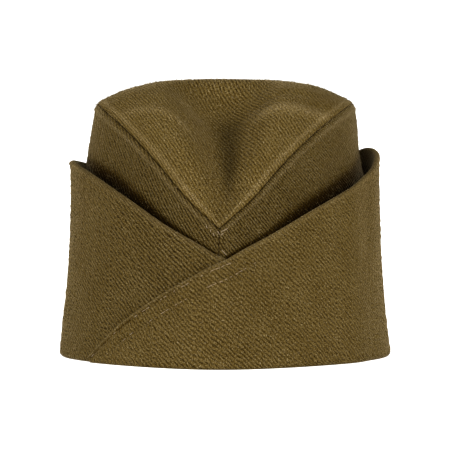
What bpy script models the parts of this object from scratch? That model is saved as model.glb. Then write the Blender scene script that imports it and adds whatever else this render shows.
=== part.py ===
"""Forage cap: a soft wool crown of two side panels and a dented top panel, with a turn-up that laps in front.

Metres, +Z up. The front of the cap faces -Y, the wearer's head goes in from below, and the cap rests
on its rim at Z = 0. Left and right are the viewer's, seen from the front.
"""

import math

import bmesh
import bpy
from mathutils import Vector

# Rim, measured to the crown cloth's outer face
RIM_HALF_WIDTH = 0.0837
RIM_HALF_LENGTH = 0.1045
FRONT_POINT = 0.35
BACK_POINT = 0.20

# Ridge seams, where the side panels meet the top panel
RIDGE_HALF_WIDTH = 0.0672
RIDGE_HALF_LENGTH = 0.0900
RIDGE_HEIGHT = 0.1325
FRONT_TIP_HEIGHT = 0.0700
BACK_TIP_HEIGHT = 0.0840
SIDE_BULGE = 0.0018

# Top panel
TOP_ARCH = 0.0126
ARCH_POWER = 3.2
TOP_DENT = 0.0280
TOP_TIP_HALF_WIDTH = 0.0020

# Turn-up, whose right flap laps over the left one
RIGHT_PEAK_HEIGHT = 0.1065
LEFT_PEAK_HEIGHT = 0.1025
CROSSING_HEIGHT = 0.0545
BACK_CURTAIN_HEIGHT = 0.0740
FLAP_END_HEIGHT = 0.0045
FLAP_LEAN = 0.0066
LEAN_POWER = 3.0
LAP_STATION = 0.3182
LAP_RUN_OUT = 0.08
FOLD_ROUND = 0.0020

# Sides, as signs of X
LEFT = -1
RIGHT = 1

# Cloth and clearance
CROWN_CLOTH = 0.0020
CURTAIN_CLOTH = 0.0030
CLEARANCE = 0.0003

# Mesh density. All pieces have their sections at the same stations, AROUND of them from front to back
AROUND = 44
PANEL_LEVELS = 9
TOP_COLUMNS = 17
CURTAIN_LEVELS = 8

# Sections of the ridge and the top panel, from the front tip to the back tip. Out, along and up are
# shares of the ridge's half width, half length and height above the nearer tip, arch and dent are
# shares of the top panel's arch and dent, and width and aside are the dent's half width and how far to
# the right its centre lies, as shares of the panel's half width there
RIDGE_COLUMNS = ("station", "out", "along", "up", "arch", "dent", "width", "aside")
RIDGE_SECTIONS = (
    (0.0, 0.00, -1.00, 0.00, 0.00, 0.00, 0.60, 0.00),
    (0.1, 0.25, -0.89, 0.24, 0.22, 0.14, 0.50, 0.12),
    (0.2, 0.49, -0.73, 0.53, 0.60, 0.72, 0.40, 0.16),
    (0.3, 0.73, -0.51, 0.78, 0.92, 1.00, 0.36, 0.11),
    (0.4, 0.93, -0.26, 0.95, 1.03, 0.70, 0.33, 0.07),
    (0.5, 1.00, 0.00, 1.00, 1.00, 0.05, 0.30, 0.04),
    (0.6, 0.95, 0.25, 0.96, 0.96, 0.05, 0.30, 0.00),
    (0.7, 0.78, 0.50, 0.82, 0.86, 0.12, 0.32, 0.00),
    (0.8, 0.53, 0.72, 0.57, 0.62, 0.21, 0.38, 0.00),
    (0.9, 0.27, 0.88, 0.27, 0.28, 0.14, 0.50, 0.00),
    (1.0, 0.00, 1.00, 0.00, 0.00, 0.00, 0.60, 0.00),
)

# Top edge of each flap, by station round the rim: 0 is the centre front, 1 the centre back, and a
# station below 0 lies past the centre front on the other side. Height is a share of the way from one
# named height to the next: 0 the flap's low end, 1 the crossing, 2 the peak and 3 the centre back.
# Lean is a share of how far a flap's edge stands off the crown
FLAP_COLUMNS = ("station", "height", "lean")
RIGHT_FLAP = (
    (-LAP_STATION, 0.00, 0.00),
    (-0.25, 0.32, 0.00),
    (-0.15, 0.64, 0.00),
    (-0.05, 0.87, 0.00),
    (0.05, 1.08, 0.06),
    (0.15, 1.28, 0.27),
    (0.25, 1.51, 0.64),
    (0.35, 1.72, 0.91),
    (0.42, 1.85, 0.94),
    (0.47, 1.94, 0.85),
    (0.52, 1.98, 0.85),
    (0.57, 2.00, 0.85),
    (0.65, 2.06, 0.76),
    (0.75, 2.32, 0.45),
    (0.87, 2.74, 0.15),
    (1.00, 3.00, 0.03),
)
LEFT_FLAP = (
    (-LAP_STATION, 0.00, 0.00),
    (-0.25, 0.32, 0.00),
    (-0.15, 0.64, 0.00),
    (-0.05, 0.87, 0.00),
    (0.05, 1.13, 0.12),
    (0.15, 1.38, 0.58),
    (0.25, 1.66, 1.00),
    (0.35, 1.88, 1.00),
    (0.42, 1.97, 0.82),
    (0.47, 2.00, 0.82),
    (0.52, 2.01, 0.76),
    (0.60, 2.08, 0.70),
    (0.70, 2.27, 0.52),
    (0.80, 2.55, 0.33),
    (0.90, 2.84, 0.12),
    (1.00, 3.00, 0.03),
)
FLAPS = {LEFT: (LEFT_FLAP, LEFT_PEAK_HEIGHT), RIGHT: (RIGHT_FLAP, RIGHT_PEAK_HEIGHT)}

CROWN_WOOL = {"Base Color": (0.112, 0.072, 0.021, 1.0), "Roughness": 0.92, "Metallic": 0.0}
TOP_WOOL = {"Base Color": (0.125, 0.081, 0.024, 1.0), "Roughness": 0.92, "Metallic": 0.0}
CURTAIN_WOOL = {"Base Color": (0.118, 0.077, 0.023, 1.0), "Roughness": 0.92, "Metallic": 0.0}
SMOOTH_ANGLE = math.radians(50)
EPS = 1e-3

# The lap makes the front thicker by one cloth, so the cap stands this far back to keep its box centred
LAP_SHIFT = (CURTAIN_CLOTH + CLEARANCE) / 2


def follow(table, columns, name, station):
    """Value of one column at a station, on a smooth curve through the rows."""
    at = columns.index(name)
    rows = [(row[0], row[at]) for row in table]
    station = min(max(station, rows[0][0]), rows[-1][0])
    index = 0
    while index < len(rows) - 2 and station > rows[index + 1][0]:
        index += 1

    def slope(i):
        low = rows[max(i - 1, 0)]
        high = rows[min(i + 1, len(rows) - 1)]
        return (high[1] - low[1]) / (high[0] - low[0])

    (x0, y0), (x1, y1) = rows[index], rows[index + 1]
    span = x1 - x0
    t = (station - x0) / span
    return (y0 * (1 + 2 * t) * (1 - t) ** 2 + y1 * t * t * (3 - 2 * t)
            + span * slope(index) * t * (1 - t) ** 2 + span * slope(index + 1) * t * t * (t - 1))


def ridge_share(name, station):
    return follow(RIDGE_SECTIONS, RIDGE_COLUMNS, name, station)


def mirrored(point):
    return Vector((-point.x, point.y, point.z))


def handed(point, side):
    return Vector((point.x * side, point.y, point.z))


def rim(station):
    """Crown's outer face at the rim, on the right-hand side."""
    turn = math.pi * station
    pointing = FRONT_POINT if station < 0.5 else BACK_POINT
    narrowing = 1 - pointing * math.cos(turn) ** 2
    return Vector((RIM_HALF_WIDTH * math.sin(turn) * narrowing, -RIM_HALF_LENGTH * math.cos(turn), 0))


def ridge(station):
    """Ridge seam on the right-hand side."""
    tip = FRONT_TIP_HEIGHT if station < 0.5 else BACK_TIP_HEIGHT
    return Vector((
        RIDGE_HALF_WIDTH * ridge_share("out", station),
        RIDGE_HALF_LENGTH * ridge_share("along", station),
        tip + (RIDGE_HEIGHT - tip) * ridge_share("up", station),
    ))


def wall(station, level):
    """Outer face of the right-hand side panel: level 0 is the rim and 1 the ridge seam."""
    low = rim(station)
    high = ridge(station)
    point = low.lerp(high, level)
    outward = Vector((low.x / RIM_HALF_WIDTH, low.y / RIM_HALF_LENGTH, 0))
    return point + outward * SIDE_BULGE * math.sin(math.pi * level ** 2)


def top(station, across):
    """Outer face of the top panel: across runs from -1 at the left ridge seam to 1 at the right one."""
    edge = ridge(station)
    height = TOP_ARCH * ridge_share("arch", station) * (1 - abs(across) ** ARCH_POWER)
    from_centre = (across - ridge_share("aside", station)) / ridge_share("width", station)
    dent = TOP_DENT * ridge_share("dent", station) * math.exp(-from_centre ** 2) * (1 - across ** 2)
    return Vector((edge.x * across, edge.y, edge.z + height - dent))


def normal_of(surface, a, b, a_side=0, b_side=0):
    """Unit normal of a surface by small differences, taken to one side where it ends at an edge."""
    along = surface(a + EPS * (a_side >= 0), b) - surface(a - EPS * (a_side <= 0), b)
    across = surface(a, b + EPS * (b_side >= 0)) - surface(a, b - EPS * (b_side <= 0))
    return along.cross(across).normalized()


def miter(first, second):
    """Offset for one unit of cloth where two cloths with these normals meet."""
    return (first + second) / (1 + first.dot(second))


def seam_normal(station, side):
    """Top panel's normal at the ridge seam of one side, turned to the right-hand side."""
    return handed(top_normal(station, side), side)


def wall_normal(station, level, side):
    """Outward normal of a side panel on the right-hand side, shared with its neighbours along the seams."""
    a_side = 1 if station <= 0 else (-1 if station >= 1 else 0)
    b_side = 1 if level <= 0 else (-1 if level >= 1 else 0)
    normal = normal_of(wall, station, level, a_side, b_side)
    if station <= 0 or station >= 1:
        return miter(normal, mirrored(normal))
    if level >= 1:
        return miter(normal, seam_normal(station, side))
    return normal


def top_normal(station, across):
    """Upward normal of the top panel on its own, one-sided at the ridge seams."""
    b_side = -1 if across >= 1 else (1 if across <= -1 else 0)
    return normal_of(lambda a, b: top(b, a), across, station, b_side, 0)


def seam_setback(station, side):
    """Half a clearance from a ridge seam's miter plane, towards the top panel on the right-hand side."""
    along = (ridge(min(station + EPS, 1)) - ridge(max(station - EPS, 0))).normalized()
    bisector = miter(normal_of(wall, station, 1, 0, -1), seam_normal(station, side))
    towards_top = bisector.cross(along).normalized()
    if towards_top.x > 0:
        towards_top = -towards_top
    return towards_top * CLEARANCE / 2


def shares(count, start=0.0, end=1.0):
    return [start + (end - start) * i / (count - 1) for i in range(count)]


def stations(start=0.0, end=1.0):
    """Stations of the common grid from one end to the other."""
    first = round(start * AROUND)
    last = round(end * AROUND)
    return [i / AROUND for i in range(first, last + 1)]


def loft(name, sections, halves, material):
    """Closed solid through rings of points. Each ring's end caps are closed in strips between the
    first half of its points and the second, which runs back."""
    mesh = bmesh.new()
    rings = [[mesh.verts.new(point) for point in section] for section in sections]
    size = len(rings[0])
    for low, high in zip(rings, rings[1:]):
        for i in range(size):
            j = (i + 1) % size
            mesh.faces.new((low[i], low[j], high[j], high[i]))
    for ring, flip in ((rings[0], False), (rings[-1], True)):
        for i in range(halves - 1):
            corners = (ring[i], ring[size - 1 - i], ring[size - 2 - i], ring[i + 1])
            unique = tuple(dict.fromkeys(corners))
            mesh.faces.new(unique[::-1] if flip else unique)
    bmesh.ops.recalc_face_normals(mesh, faces=mesh.faces)
    data = bpy.data.meshes.new(name)
    mesh.to_mesh(data)
    mesh.free()
    data.shade_smooth()
    data.set_sharp_from_angle(angle=SMOOTH_ANGLE)
    data.materials.append(material)
    piece = bpy.data.objects.new(name, data)
    piece.location.y = LAP_SHIFT
    bpy.data.collections["forage_cap"].objects.link(piece)
    return piece


def wool(name, finish):
    """Wool cloth with its colour, roughness and metallic value."""
    material = bpy.data.materials.new(name)
    material.use_nodes = True
    shader = material.node_tree.nodes["Principled BSDF"]
    for socket, value in finish.items():
        shader.inputs[socket].default_value = value
    return material


def side_panel(name, side, material):
    """Crown wall on one side, from the rim to the ridge seam, with half a clearance at every seam."""
    sections = []
    for station in stations():
        aside = CLEARANCE / 2 * ((station <= 0) + (station >= 1))
        outer = []
        inner = []
        for level in shares(PANEL_LEVELS):
            point = wall(station, level)
            inside = point - wall_normal(station, level, side) * CROWN_CLOTH
            if level >= 1:
                setback = seam_setback(min(max(station, EPS), 1 - EPS), side)
                point = point - setback
                inside = inside - setback
            if level <= 0:
                inside.z = 0
            point.x += aside
            inside.x += aside
            outer.append(handed(point, side))
            inner.append(handed(inside, side))
        sections.append(outer + inner[::-1])
    return loft(name, sections, PANEL_LEVELS, material)


def top_panel(name, material):
    """Lens-shaped top between the ridge seams, with its ends cut short of the tips."""
    tip = first_station_with_half_width(TOP_TIP_HALF_WIDTH)
    inside_tips = [station for station in stations() if tip < station < 1 - tip]
    sections = []
    for station in [tip] + inside_tips + [1 - tip]:
        outer = []
        inner = []
        for across in shares(TOP_COLUMNS, -1, 1):
            point = top(station, across)
            if abs(across) < 1:
                inside = point - top_normal(station, across) * CROWN_CLOTH
            else:
                edge = miter(normal_of(wall, station, 1, 0, -1), seam_normal(station, across))
                shift = handed(seam_setback(station, across), across)
                inside = point - handed(edge, across) * CROWN_CLOTH + shift
                point = point + shift
            outer.append(point)
            inner.append(inside)
        sections.append(outer + inner[::-1])
    return loft(name, sections, TOP_COLUMNS, material)


def first_station_with_half_width(half_width):
    """Station nearest the front tip where the top panel is as wide as this on each side."""
    low = 0.0
    high = 0.5
    while high - low > EPS:
        middle = (low + high) / 2
        if ridge(middle).x < half_width:
            low = middle
        else:
            high = middle
    return high


def flap_height(side, station):
    """Height of a flap's top edge at a station."""
    table, peak = FLAPS[side]
    heights = (FLAP_END_HEIGHT, CROSSING_HEIGHT, peak, BACK_CURTAIN_HEIGHT)
    share = follow(table, FLAP_COLUMNS, "height", station)
    index = min(int(share), len(heights) - 2)
    return heights[index] + (heights[index + 1] - heights[index]) * (share - index)


def crown_at(station, height):
    """Crown's outer face at a height, on the right for stations above 0 and on the left below."""
    level = height / ridge(abs(station)).z
    point = wall(abs(station), level)
    point.z = height
    return point if station >= 0 else mirrored(point)


def plan_normal(station, height):
    """Level outward direction of the crown's wall at a height."""
    if station >= 1:
        return Vector((0, 1, 0))
    along = crown_at(min(station + EPS, 1), height) - crown_at(station - EPS, height)
    return Vector((along.y, -along.x, 0)).normalized()


def step(start, end, value):
    t = min(max((value - start) / (end - start), 0), 1)
    return t * t * (3 - 2 * t)


def curtain_gap(side, station, height):
    """Distance from the crown to the turn-up's inner face. Its edge leans off the crown, and the right
    flap lies one cloth further out where it laps over the left one."""
    if station < 0:
        if side == LEFT:
            return CLEARANCE
        return curtain_gap(LEFT, -station, height) + CURTAIN_CLOTH + CLEARANCE
    lean = FLAP_LEAN * follow(FLAPS[side][0], FLAP_COLUMNS, "lean", station)
    gap = CLEARANCE + lean * (height / flap_height(side, station)) ** LEAN_POWER
    if side == RIGHT:
        run_out = step(LAP_STATION, LAP_STATION + LAP_RUN_OUT, station)
        gap += (CURTAIN_CLOTH + CLEARANCE) * (1 - run_out)
    return gap


def curtain_point(side, station, height, depth):
    """Point of the turn-up at a depth into its cloth, 0 on the inner face and 1 on the outer."""
    away = curtain_gap(side, station, height) + CURTAIN_CLOTH * depth
    return crown_at(station, height) + plan_normal(station, height) * away


def curtain(name, side, material):
    """One flap of the turn-up: its section is a wall with a round top edge and a round fold at the rim."""
    table = FLAPS[side][0]
    sections = []
    for station in stations(table[0][0], table[-1][0]):
        height = flap_height(side, station)
        shoulder = 1 - CURTAIN_CLOTH / 2 / height
        inner = [(height * level, 0.0) for level in shares(CURTAIN_LEVELS, 0, shoulder)]
        outer = [(height * level, 1.0) for level in shares(CURTAIN_LEVELS, FOLD_ROUND / height, shoulder)]
        fold = (0.0, 1 - FOLD_ROUND / 2 / CURTAIN_CLOTH)
        profile = inner + [(height, 0.5)] + outer[::-1] + [fold]
        aside = Vector((CLEARANCE / 2 if station >= 1 else 0, 0, 0))
        points = [curtain_point(side, station, z, depth) + aside for z, depth in profile]
        sections.append([handed(point, side) for point in points])
    return loft(name, sections, CURTAIN_LEVELS + 1, material)


def build():
    """Clear the scene and build the cap in its own collection."""
    for item in list(bpy.data.objects):
        bpy.data.objects.remove(item)
    collection = bpy.data.collections.new("forage_cap")
    bpy.context.scene.collection.children.link(collection)
    crown_wool = wool("crown_wool", CROWN_WOOL)
    curtain_wool = wool("curtain_wool", CURTAIN_WOOL)
    side_panel("side_panel_left", LEFT, crown_wool)
    side_panel("side_panel_right", RIGHT, crown_wool)
    top_panel("top_panel", wool("top_wool", TOP_WOOL))
    curtain("curtain_left", LEFT, curtain_wool)
    curtain("curtain_right", RIGHT, curtain_wool)


build()
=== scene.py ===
"""Looks of the forage cap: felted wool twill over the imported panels, with its seams, rolled edges,
stitch rows and loose hairs, on a white sweep in soft studio light.

Metres, +Z up, the front of the cap faces -Y. Left and right are the viewer's.
"""

import math

import bpy
import numpy as np
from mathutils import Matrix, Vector


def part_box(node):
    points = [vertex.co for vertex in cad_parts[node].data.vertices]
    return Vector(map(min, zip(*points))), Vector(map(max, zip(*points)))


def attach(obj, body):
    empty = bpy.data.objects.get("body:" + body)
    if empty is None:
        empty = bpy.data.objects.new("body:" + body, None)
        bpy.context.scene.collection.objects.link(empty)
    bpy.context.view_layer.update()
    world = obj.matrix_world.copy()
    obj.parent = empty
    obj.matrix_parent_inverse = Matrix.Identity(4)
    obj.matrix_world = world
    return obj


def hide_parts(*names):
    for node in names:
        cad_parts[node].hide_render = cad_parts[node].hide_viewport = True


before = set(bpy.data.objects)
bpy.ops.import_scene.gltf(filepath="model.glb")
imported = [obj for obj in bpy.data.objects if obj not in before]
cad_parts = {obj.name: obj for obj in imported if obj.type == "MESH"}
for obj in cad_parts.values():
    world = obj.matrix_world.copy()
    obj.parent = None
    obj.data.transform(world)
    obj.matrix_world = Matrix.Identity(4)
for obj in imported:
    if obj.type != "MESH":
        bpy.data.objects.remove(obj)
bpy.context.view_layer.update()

# Main sizes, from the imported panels
CROWN_LOW, CROWN_HIGH = (np.array(corner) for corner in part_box("side_panel_right"))
RIM_HALF_WIDTH = CROWN_HIGH[0]
RIM_HALF_LENGTH = (CROWN_HIGH[1] - CROWN_LOW[1]) / 2
CENTRE_Y = (CROWN_HIGH[1] + CROWN_LOW[1]) / 2
RIDGE_HEIGHT = CROWN_HIGH[2]
RIGHT_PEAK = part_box("curtain_right")[1][2]
LEFT_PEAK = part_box("curtain_left")[1][2]

# Sizes that the panels were built from
FRONT_POINT = 0.35
BACK_POINT = 0.20
RIDGE_HALF_WIDTH = 0.0672
RIDGE_HALF_LENGTH = 0.0900
FRONT_TIP_HEIGHT = 0.0700
BACK_TIP_HEIGHT = 0.0840
SIDE_BULGE = 0.0018
TOP_ARCH = 0.0126
ARCH_POWER = 3.2
TOP_DENT = 0.0280
CROSSING_HEIGHT = 0.0545
BACK_HEIGHT = 0.0740
FLAP_END_HEIGHT = 0.0045
CROWN_CLOTH = 0.0020
CURTAIN_CLOTH = 0.0030
CLOTH_GAP = 0.0001
LEAN_POWER = 3.0
LAP_STATION = 14 / 44
LAP_RUN_OUT = 0.08
NOSE_SPREAD = 0.02
DENT_CLOTH_PULL = 1.05
SIDE_CLOTH_PULL = 1.5
CLOTH_EASE = 0.60
CLOTH_EASE_STATION = 0.47
CLOTH_EASE_LENGTH = 0.10
CLOTH_PULL_STATIONS = (0.52, 0.36)

# Fine form at the seams and edges. A welt fades in and out over the stations given
SEAM_ROLL = 0.0015
SEAM_DROP = 0.0011
SEAM_REACH = 0.0040
SEAM_END = 1e-3
WELT_HEIGHT = 0.0005
WELT_INSET = 0.0034
WELT_WIDTH = 0.0012
WELT_STARTS = (0.01, 0.06)
WELT_ENDS = (1, 0.94)
HEM_THINNING = 0.6
HEM_ROUND = 0.7
EDGE_BEAD = 0.0003
EDGE_BEAD_INSET = 0.0016
FOLD_RADIUS = 0.0024
RELIEF_STARTS = 0.3

# Hollow that is pressed into the right wall above its flap
PRESS = 0.0018
PRESS_HEIGHT = 0.104
PRESS_REACH = 0.013
PRESS_LENGTH = 0.16

# Slow waves of the cloth: height, lengths along and across, and how far from a seam they are full
WALL_WAVE = 0.00045
WALL_WAVE_SIZE = (0.035, 0.05)
TOP_WAVE = 0.0003
TOP_WAVE_SIZE = (0.03, 0.04)
TOP_WAVE_REACH = 0.012
FLAP_WAVE = 0.0004
FLAP_WAVE_SIZE = (0.045, 0.06)
WAVE_REACH = 0.02

# Bumps of the nap: height, size, how far from a seam they are full, and how much higher on the flaps
NAP_BUMP = 0.00020
NAP_BUMP_SIZE = 0.0034
NAP_REACH = 0.001
FLAP_NAP = 1.7

# Sides, as signs of X
LEFT = -1
RIGHT = 1

# Seeds of the irregular fields, how many sines make a slow, a fine and a nap field, and the fewest and
# the most waves that a sine has in its field's unit of length
WALL_SEEDS = {LEFT: 11, RIGHT: 12}
FLAP_SEEDS = {LEFT: 21, RIGHT: 22}
TOP_SEED = 31
HAIR_SEED = 70
STITCH_SEED = 40
SLOW_WAVES = 7
FINE_WAVES = 20
NAP_WAVES = 40
WAVE_RATES = (0.5, 1.6)

# Stitch rows on the right flap: first station, last station and distance below the flap's edge
STITCH_ROWS = ((-0.312, 0.030, 0.0023), (-0.262, 0.098, 0.0088))

# Creases of the top panel: across at its start and end, station at its start, bow, station at its end,
# and height. Each fades in and out over the shares of its length given
CREASE_BREADTH = 0.013
CREASE_STARTS = (0, 0.25)
CREASE_ENDS = (1.03, 0.9)
TOP_CREASES = (
    (0.25, 1.0, 0.333, -0.015, 0.345, 0.0009),
    (0.10, 0.80, 0.392, -0.012, 0.385, -0.0009),
    (-0.30, -0.95, 0.250, 0.012, 0.345, 0.0006),
)

# Paleness and painted shade of the cloth, where 1 is pale and -1 is painted shade: paler welts, creases and
# flap edges, painted light on the lapping edge, and painted shade in the seam grooves, above the flap edges
# and inside the flaps
# Paler welts beside the seams and crests of creases
WELT_PALE = 0.35
CREASE_PALE = 0.40
# Painted shade in the seam grooves, broken up along them
SEAM_PAINTED_SHADE = -0.68
SEAM_SHADE_WIDTH = 0.00048
SEAM_BREAK = 0.004
SEAM_FADE = (-1.4, 0.3)
# Paler flap edges
EDGE_PALE = 0.20
# Painted shade on the crown above the flap edges, least at the centre front
ABOVE_FLAP_PAINTED_SHADE = -0.88
ABOVE_FLAP_SHADE_REACH = 0.0036
ABOVE_FLAP_SHADE_STATIONS = (0.08, 0.32)
LEAST_ABOVE_FLAP_SHADE = 0.75
LEAST_ABOVE_FLAP_SHADE_REACH = 0.22
# Painted light on the lapping edge's roll, lifting the dark line where it lies on the left flap
LAP_PAINTED_LIGHT = 0.14
LAP_BREAKS = 45
LAP_FADE = (-1.2, 0.4)
LAP_INSET = 0.0010
# Painted shade in the groove of the lap's stitch row
GROOVE_PAINTED_SHADE = -0.85
GROOVE_WIDTH = 0.0007
# Painted shade deep inside the flaps
INSIDE_FLAP_PAINTED_SHADE = -0.87
INSIDE_DEPTHS = (0.003, 0.013)
INSIDE_SHARE = 0.4
# How dark the wool gets under full painted shade
DARKEST_PAINTED_SHADE = 0.12

# Soft folds of the top panel: station, across, height, length in stations and breadth in across
TOP_FOLDS = (
    (0.24, -0.62, 0.0012, 0.10, 0.20),
    (0.36, 0.55, 0.0014, 0.07, 0.25),
    (0.42, -0.03, -0.0030, 0.06, 0.34),
)
FOLD_REACH = 0.004

# Stitches. Lengths are shares of the length, and standing, sinking and tucking are shares of the lift
STITCH_PITCH = 0.0030
STITCH_LENGTH = 0.0026
STITCH_LENGTHS = (0.85, 1.1)
STITCH_RADIUS = 0.00016
STITCH_TAPER = 0.25
STITCH_LIFT = 0.00014
STITCH_STANDS = (0.2, 1.0)
STITCH_SINK = 2.0
STITCH_TUCK = 2.6
STITCH_SKEW = 0.07
FIRST_SHOWN = 0.12
LAST_SHOWN = 0.92
STITCH_PULL = 0.0007
STITCH_PULL_WIDTH = 0.0009
ROW_FADE = 0.02
THREAD_POINTS = 7
THREAD_SIDES = 6

# Hand stitches at the front tip: aside of the front seam and above the tip, at both ends
TIP_STITCHES = (
    (-0.0066, 0.0018, -0.0060, 0.0002),
    (-0.0044, -0.0004, -0.0040, -0.0016),
    (-0.0031, -0.0019, -0.0023, -0.0036),
    (-0.0008, -0.0010, 0.0003, -0.0028),
    (0.0009, -0.0015, 0.0046, 0.0003),
    (0.0008, -0.0032, 0.0022, -0.0022),
    (0.0014, -0.0104, 0.0040, -0.0134),
)
TIP_STITCH_RADIUS = 0.00019
TIP_STITCH_TAPER = 0.3
TIP_STITCH_LIFT = 0.0005
TIP_STITCH_TUCK = 0.2

# Loose wool hairs on each cloth. Each bends once, and its rise is a share of how far it lies along
HAIR_COUNT = 5000
EDGE_HAIRS = 5.0
HAIR_LENGTH = 0.0019
SHORTEST_HAIR = 0.35
LONG_HAIRS = 0.05
LONG_HAIR = 2.2
HAIR_RISE = (0.10, 0.65)
HAIR_BEND = 0.35
HAIR_TIP_RISE = 0.3
HAIR_ROOT = 0.0002
HAIR_RADIUS = 0.00007
HAIR_TAPER = (1.0, 0.9, 0.4)
HAIR_SIDES = 3
HAIR_COLOUR = (0.20, 0.155, 0.080)
HAIR_CENTRE_HEIGHT = 0.06

# Wool of each panel: angle of its ribs from level in degrees, their pitch in millimetres of flat cloth,
# and its tint and the depth of its twill as shares
# The tints paint light and shade: the top brighter than the walls, the right curtain brighter than the left
WOOLS = {
    "crown_left": (134, 1.68, 0.88, 1.15),
    "crown_right": (132, 1.68, 0.895, 1.15),
    "top": (120, 1.65, 1.15, 0.85),
    "curtain_left": (142, 1.90, 0.90, 1.0),
    "curtain_right": (138, 1.90, 0.975, 0.82),
}

# Noises of the wool: waves in each millimetre, detail and roughness
SLOW_NOISE = (0.07, 2.0, 0.5)
QUICK_NOISE = (0.45, 2.0, 0.5)
BREAK_NOISE = (1.0, 3.0, 0.6)
STRAND_NOISE = (1.0, 2.0, 0.7)
FIBRE_NOISE = (1.9, 3.0, 0.75)
HEATHER_NOISE = (0.9, 3.0, 0.6)
PATCH_NOISE = (0.045, 2.0, 0.5)

# How far the ribs wander in millimetres, and how the breaks and strands are stretched and lean
WOBBLE = 1.1
QUICK_WOBBLE = 0.26
BREAK_STRETCH = (0.45, 1.1)
STRAND_STRETCH = (1.3, 0.9)
STRAND_LEAN = (0.80, 0.60)

# Low and high end of a noise, and the shares of the colour that they give
GROOVE_BREAK = (0.38, 0.56)
LEAST_GROOVE = 0.35
FLECK_FIBRE = (0.52, 0.74)
FLECK_HEATHER = (0.40, 0.62)
FLECK_SHARE = 0.55
STRAND_TONE = (0.28, 0.72, 0.66, 1.34)
PATCH_TONE = (0.3, 0.7, 0.93, 1.07)
SPECKLE_TONE = (0.36, 0.64, 0.36, 1.76)
HEATHER_TONE = (0.36, 0.64, 0.85, 1.15)
WOOL_ROUGHNESS = (0.3, 0.7, 0.88, 0.98)

# How much stronger those shares are in green and in blue
GREEN_POWER = 1.17
BLUE_POWER = 1.80

# Relief of the twill, in metres
RIB_HEIGHT = 0.00030
STRAND_HEIGHT = 0.00012
FIBRE_HEIGHT = 0.00008

# Colours, linear
RIB_COLOUR = (0.096, 0.068, 0.0225)
GROOVE_COLOUR = (0.0095, 0.0046, 0.0004)
FLECK_COLOUR = (0.19, 0.150, 0.075)
# Colour that the paler parts and the painted light on the lapping edge blend towards
PALE_COLOUR = (0.155, 0.118, 0.058)
THREAD_COLOUR = (0.25, 0.198, 0.135)
SHEEN_COLOUR = (0.95, 0.78, 0.50, 1.0)
SHEEN_WEIGHT = 0.30
SHEEN_SPREAD = 0.22
WOOL_SPECULAR = 0.03
THREAD_NOISE = (900.0, 3.0, 0.6)
THREAD_TONES = (0.6, 1.35)
THREAD_ROUGHNESS = 0.8
THREAD_SPECULAR = 0.25
FLOOR_TONES = (0.90, 0.92)
FLOOR_NOISE = 3.0

# Studio: name, direction that it comes from, strength and angle across of each soft light
SKY_STRENGTH = 0.26
TABLE_GLOW = 0.42
STAGE_RADIUS = 9.0
STAGE_SIDES = 96
DOME_ROWS = 24
DOME_LOW = -0.1
LIGHTS = (
    ("left_box", (-1.0, -0.36, 0.33), 2.38, 22.0),
    ("right_box", (0.86, -0.55, 0.36), 2.32, 22.0),
    ("front_box", (0.02, -0.90, 0.50), 1.3, 30.0),
)

# Mesh density
WALL_STATIONS = 230
WALL_LEVELS = 100
TOP_STATIONS = 170
TOP_COLUMNS = 121
FLAP_STATIONS = 330
FLAP_LEVELS = 64
EDGE_STEPS = 7
FOLD_STEPS = 6
RIM_SAMPLES = 800
ROW_SAMPLES = 400
TIP_SAMPLES = 200
TIP_SPAN = 0.25

# How rows of points crowd towards seams and edges, and the stations that the top panel covers
END_CROWD = 0.75
WALL_CROWD = 1.5
FLAP_CROWD = 1.4
TOP_SPAN = (0.006, 0.994)

# Sections of the ridge and the top panel, from the front tip (station 0) to the back tip (1)
RIDGE_COLUMNS = ("station", "out", "along", "up", "arch", "dent", "width", "aside")
RIDGE_SECTIONS = (
    (0.0, 0.00, -1.00, 0.00, 0.00, 0.00, 0.60, 0.00),
    (0.1, 0.25, -0.89, 0.24, 0.22, 0.27, 0.50, 0.16),
    (0.2, 0.49, -0.73, 0.53, 0.60, 0.68, 0.42, 0.08),
    (0.3, 0.73, -0.51, 0.78, 0.92, 0.87, 0.38, 0.03),
    (0.4, 0.93, -0.26, 0.95, 1.03, 0.70, 0.33, 0.00),
    (0.5, 1.00, 0.00, 1.00, 1.00, 0.05, 0.30, 0.00),
    (0.6, 0.95, 0.25, 0.96, 0.96, 0.05, 0.30, 0.00),
    (0.7, 0.78, 0.50, 0.82, 0.86, 0.12, 0.32, 0.00),
    (0.8, 0.53, 0.72, 0.57, 0.62, 0.21, 0.38, 0.00),
    (0.9, 0.27, 0.88, 0.27, 0.28, 0.14, 0.50, 0.00),
    (1.0, 0.00, 1.00, 0.00, 0.00, 0.00, 0.60, 0.00),
)

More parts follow.
